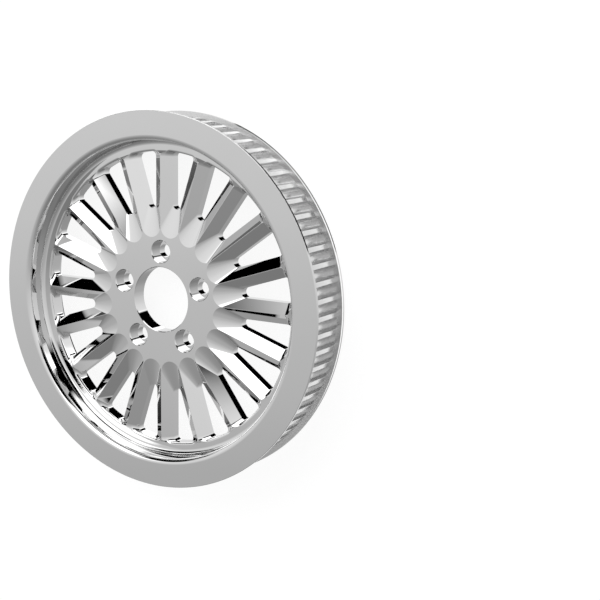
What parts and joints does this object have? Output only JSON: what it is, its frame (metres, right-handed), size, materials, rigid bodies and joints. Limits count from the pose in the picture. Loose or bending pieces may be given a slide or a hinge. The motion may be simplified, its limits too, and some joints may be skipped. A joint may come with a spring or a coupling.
{
  "type": "belt pulley",
  "caption": "Toothed belt pulley with two flanges, a dished web of radial spokes, a central bore and a circle of counterbored bolt holes.",
  "frame": {"origin": "centre of the bore, in the plane of the back rim that it lies on", "axes": "+Z along the bore axis towards the front, the side with the counterbores; +Y through one bolt hole"},
  "size_m": [0.3206, 0.3206, 0.0475],
  "materials": {
    "chrome": "polished mirror chrome plate"
  },
  "bodies": {
    "root": {"pulley": "chrome"}
  },
  "joints": []
}
